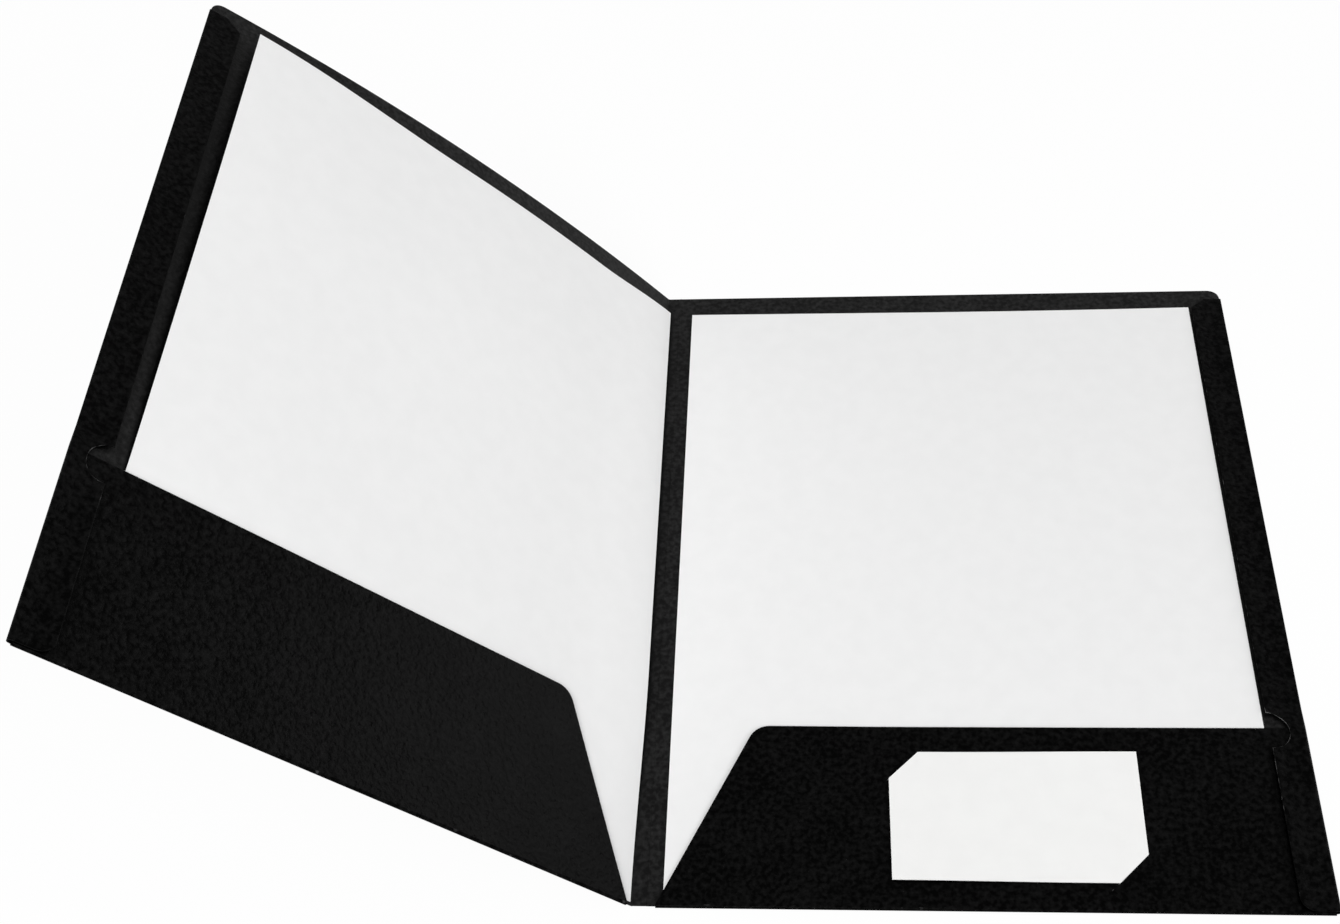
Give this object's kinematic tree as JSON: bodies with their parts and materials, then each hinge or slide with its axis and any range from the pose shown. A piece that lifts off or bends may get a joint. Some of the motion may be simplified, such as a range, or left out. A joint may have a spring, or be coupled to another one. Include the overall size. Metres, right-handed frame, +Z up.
{
  "type": "two pocket folder",
  "caption": "Open presentation folder of black board with creased covers, low folded pockets, edge flaps, loose letter sheets and a card held by its corners in slits.",
  "frame": {"origin": "centre of the back cover's underside, on the surface that the folder lies on", "axes": "+X across the page towards the back cover's outer edge, +Y up the page, +Z up from the surface"},
  "size_m": [0.4051, 0.292, 0.171],
  "materials": {
    "black_board": "matte",
    "letter_paper": "matte",
    "card_stock": "matte",
    "clear_glue": "satin"
  },
  "bodies": {
    "back_half": {"back_cover": "black_board", "back_pocket": "black_board", "back_pocket_fold": "black_board", "back_flap": "black_board", "back_edge_fold": "black_board", "back_pocket_glue": "clear_glue", "back_flap_glue": "clear_glue", "business_card": "card_stock"},
    "spine_strip": {"spine": "black_board", "back_crease": "black_board", "front_crease": "black_board"},
    "front_half": {"front_cover": "black_board", "front_pocket": "black_board", "front_pocket_fold": "black_board", "front_flap": "black_board", "front_edge_fold": "black_board", "front_pocket_glue": "clear_glue", "front_flap_glue": "clear_glue"},
    "back_insert": {"back_sheet": "letter_paper"},
    "front_insert": {"front_sheet": "letter_paper"}
  },
  "joints": [
    {"name": "spine_hinge", "type": "hinge", "parent": "back_half", "child": "spine_strip", "pos_m": [-0.118, 0, 0.00025], "axis": [0, 1, 0], "range_deg": [0, 90]},
    {"name": "cover_hinge", "type": "hinge", "parent": "spine_strip", "child": "front_half", "pos_m": [-0.1235, 0, 0.00025], "axis": [0, 1, 0], "range_deg": [-46, 44]},
    {"name": "back_sheet_slide", "type": "slide", "parent": "back_half", "child": "back_insert", "axis": [0, 1, 0], "range_m": [0, 0.08]},
    {"name": "front_sheet_slide", "type": "slide", "parent": "front_half", "child": "front_insert", "axis": [0, 1, 0], "range_m": [0, 0.08]}
  ]
}
